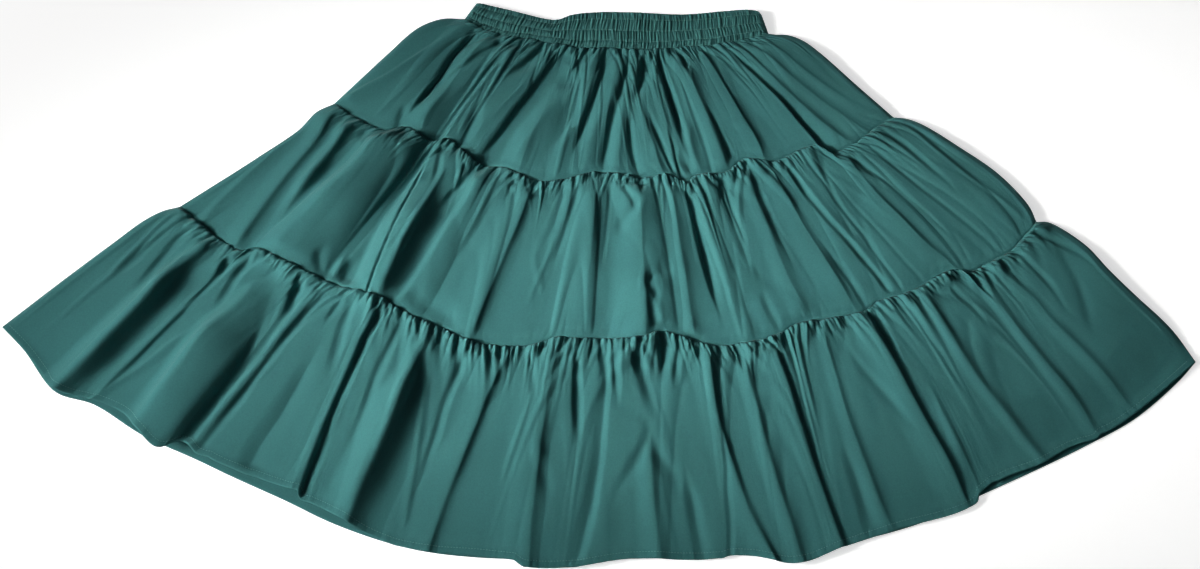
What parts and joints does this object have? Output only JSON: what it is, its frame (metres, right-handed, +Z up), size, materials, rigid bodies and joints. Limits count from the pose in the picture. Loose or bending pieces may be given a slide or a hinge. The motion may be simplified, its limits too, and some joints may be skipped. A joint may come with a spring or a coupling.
{
  "type": "tiered skirt",
  "caption": "Tiered gathered skirt with an elasticated waistband, laid flat on its back, each tier of woven cotton fuller than the one above.",
  "frame": {"origin": "centre of the bounding box, on the plane that the skirt lies on", "axes": "+X across the hem, to the viewer's right; +Y from the hem towards the waist; +Z up, away from the surface"},
  "size_m": [1.244, 0.622, 0.027],
  "materials": {
    "cotton_cloth": "plain woven cotton, matt with a faint sheen",
    "waistband_cloth": "the same cotton, shirred over elastic channels"
  },
  "bodies": {
    "root": {"waistband_front": "waistband_cloth", "waistband_back": "waistband_cloth", "upper_tier_front": "cotton_cloth", "upper_tier_back": "cotton_cloth", "middle_tier_front": "cotton_cloth", "middle_tier_back": "cotton_cloth", "lower_tier_front": "cotton_cloth", "lower_tier_back": "cotton_cloth"}
  },
  "joints": []
}
